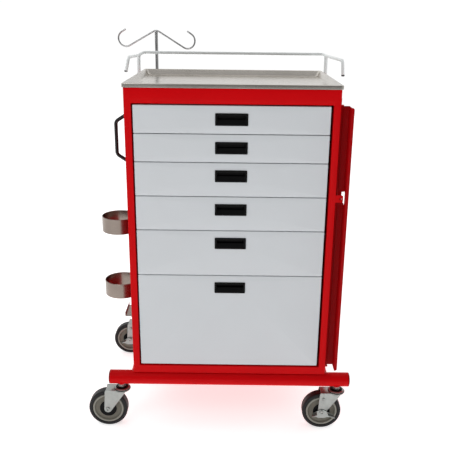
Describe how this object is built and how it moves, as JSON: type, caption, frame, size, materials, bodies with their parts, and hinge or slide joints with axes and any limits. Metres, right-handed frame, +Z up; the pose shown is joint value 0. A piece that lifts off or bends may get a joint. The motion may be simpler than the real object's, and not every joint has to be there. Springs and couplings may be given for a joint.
{
  "type": "crash cart",
  "caption": "Steel emergency drawer cart with recessed tray top, guard rail, infusion pole, cylinder holder, push handle, drawer lock bar and swivel casters.",
  "frame": {"origin": "centre of the whole cart's footprint, on the floor", "axes": "+X to the right as seen from the drawers, +Y from the drawer fronts to the back, +Z up"},
  "size_m": [0.8364, 0.5808, 1.2318],
  "materials": {
    "red_paint": "gloss powder coat",
    "pale_paint": "fine satin powder coat",
    "white_coat": "satin powder coat on rod",
    "black_coat": "satin powder coat on rod",
    "black_plastic": "fine moulded texture",
    "stainless": "brushed",
    "zinc": "zinc plated",
    "chrome": "polished",
    "wheel_grey": "moulded",
    "tyre": "smooth rubber"
  },
  "bodies": {
    "cart": {"cabinet_shell": "red_paint", "back_panel": "red_paint", "front_frame": "red_paint", "left_runner_rack": "pale_paint", "right_runner_rack": "pale_paint", "tray_top": "stainless", "guard_rail": "white_coat", "push_handle": "black_coat", "upper_cylinder_ring": "stainless", "lower_cylinder_ring": "stainless", "cylinder_foot_rest": "stainless", "pole_guide_tube": "zinc", "pole_collar": "black_plastic", "upper_lock_hinge": "red_paint", "lower_lock_hinge": "red_paint", "base_frame": "red_paint", "front_left_tube_cap": "black_plastic", "front_right_tube_cap": "black_plastic", "rear_left_tube_cap": "black_plastic", "rear_right_tube_cap": "black_plastic", "front_left_stem": "zinc", "front_right_stem": "zinc", "rear_left_stem": "zinc", "rear_right_stem": "zinc"},
    "drawer_1": {"drawer_1_box": "pale_paint", "drawer_1_front": "pale_paint", "drawer_1_pull": "black_plastic"},
    "drawer_2": {"drawer_2_box": "pale_paint", "drawer_2_front": "pale_paint", "drawer_2_pull": "black_plastic"},
    "drawer_3": {"drawer_3_box": "pale_paint", "drawer_3_front": "pale_paint", "drawer_3_pull": "black_plastic"},
    "drawer_4": {"drawer_4_box": "pale_paint", "drawer_4_front": "pale_paint", "drawer_4_pull": "black_plastic"},
    "drawer_5": {"drawer_5_box": "pale_paint", "drawer_5_front": "pale_paint", "drawer_5_pull": "black_plastic"},
    "drawer_6": {"drawer_6_box": "pale_paint", "drawer_6_front": "pale_paint", "drawer_6_pull": "black_plastic"},
    "lock_bar": {"lock_bar": "red_paint"},
    "infusion_pole": {"infusion_pole": "chrome"},
    "pole_knob": {"pole_knob": "black_plastic"},
    "front_left_fork": {"front_left_fork": "zinc"},
    "front_left_wheel": {"front_left_wheel": "wheel_grey", "front_left_tyre": "tyre"},
    "front_right_fork": {"front_right_fork": "zinc"},
    "front_right_wheel": {"front_right_wheel": "wheel_grey", "front_right_tyre": "tyre"},
    "front_right_brake_pedal": {"front_right_brake_pedal": "zinc"},
    "rear_left_fork": {"rear_left_fork": "zinc"},
    "rear_left_wheel": {"rear_left_wheel": "wheel_grey", "rear_left_tyre": "tyre"},
    "rear_left_brake_pedal": {"rear_left_brake_pedal": "zinc"},
    "rear_right_fork": {"rear_right_fork": "zinc"},
    "rear_right_wheel": {"rear_right_wheel": "wheel_grey", "rear_right_tyre": "tyre"}
  },
  "joints": [
    {"name": "drawer_1_slide", "type": "slide", "parent": "cart", "child": "drawer_1", "axis": [0, -1, 0], "range_m": [0, 0.36]},
    {"name": "drawer_2_slide", "type": "slide", "parent": "cart", "child": "drawer_2", "axis": [0, -1, 0], "range_m": [0, 0.36]},
    {"name": "drawer_3_slide", "type": "slide", "parent": "cart", "child": "drawer_3", "axis": [0, -1, 0], "range_m": [0, 0.36]},
    {"name": "drawer_4_slide", "type": "slide", "parent": "cart", "child": "drawer_4", "axis": [0, -1, 0], "range_m": [0, 0.36]},
    {"name": "drawer_5_slide", "type": "slide", "parent": "cart", "child": "drawer_5", "axis": [0, -1, 0], "range_m": [0, 0.36]},
    {"name": "drawer_6_slide", "type": "slide", "parent": "cart", "child": "drawer_6", "axis": [0, -1, 0], "range_m": [0, 0.36]},
    {"name": "lock_bar_turn", "type": "hinge", "parent": "cart", "child": "lock_bar", "pos_m": [0.34375, -0.24354, 0.62], "axis": [0, 0, 1], "range_deg": [-90, 0]},
    {"name": "infusion_pole_slide", "type": "slide", "parent": "cart", "child": "infusion_pole", "axis": [0, 0, 1], "range_m": [0, 0.3]},
    {"name": "pole_knob_turn", "type": "hinge", "parent": "cart", "child": "pole_knob", "pos_m": [-0.23225, 0.26846, 1.0483], "axis": [-1, 0, 0], "range_deg": [0, 180]},
    {"name": "front_left_swivel", "type": "hinge", "parent": "cart", "child": "front_left_fork", "pos_m": [-0.31025, -0.25054, 0.13], "axis": [0, 0, 1], "continuous": true},
    {"name": "front_left_wheel_spin", "type": "hinge", "parent": "front_left_fork", "child": "front_left_wheel", "pos_m": [-0.35575, -0.25054, 0.0625], "axis": [0, 1, 0], "continuous": true},
    {"name": "front_right_swivel", "type": "hinge", "parent": "cart", "child": "front_right_fork", "pos_m": [0.38075, -0.25054, 0.13], "axis": [0, 0, 1], "continuous": true},
    {"name": "front_right_wheel_spin", "type": "hinge", "parent": "front_right_fork", "child": "front_right_wheel", "pos_m": [0.33525, -0.25054, 0.0625], "axis": [0, 1, 0], "continuous": true},
    {"name": "front_right_brake_press", "type": "hinge", "parent": "front_right_fork", "child": "front_right_brake_pedal", "pos_m": [0.33525, -0.25054, 0.0625], "axis": [0, 1, 0], "range_deg": [0, 14]},
    {"name": "rear_left_swivel", "type": "hinge", "parent": "cart", "child": "rear_left_fork", "pos_m": [-0.31025, 0.22846, 0.13], "axis": [0, 0, 1], "continuous": true},
    {"name": "rear_left_wheel_spin", "type": "hinge", "parent": "rear_left_fork", "child": "rear_left_wheel", "pos_m": [-0.35575, 0.22846, 0.0625], "axis": [0, 1, 0], "continuous": true},
    {"name": "rear_left_brake_press", "type": "hinge", "parent": "rear_left_fork", "child": "rear_left_brake_pedal", "pos_m": [-0.35575, 0.22846, 0.0625], "axis": [0, 1, 0], "range_deg": [0, 14]},
    {"name": "rear_right_swivel", "type": "hinge", "parent": "cart", "child": "rear_right_fork", "pos_m": [0.38075, 0.22846, 0.13], "axis": [0, 0, 1], "continuous": true},
    {"name": "rear_right_wheel_spin", "type": "hinge", "parent": "rear_right_fork", "child": "rear_right_wheel", "pos_m": [0.33525, 0.22846, 0.0625], "axis": [0, 1, 0], "continuous": true}
  ]
}
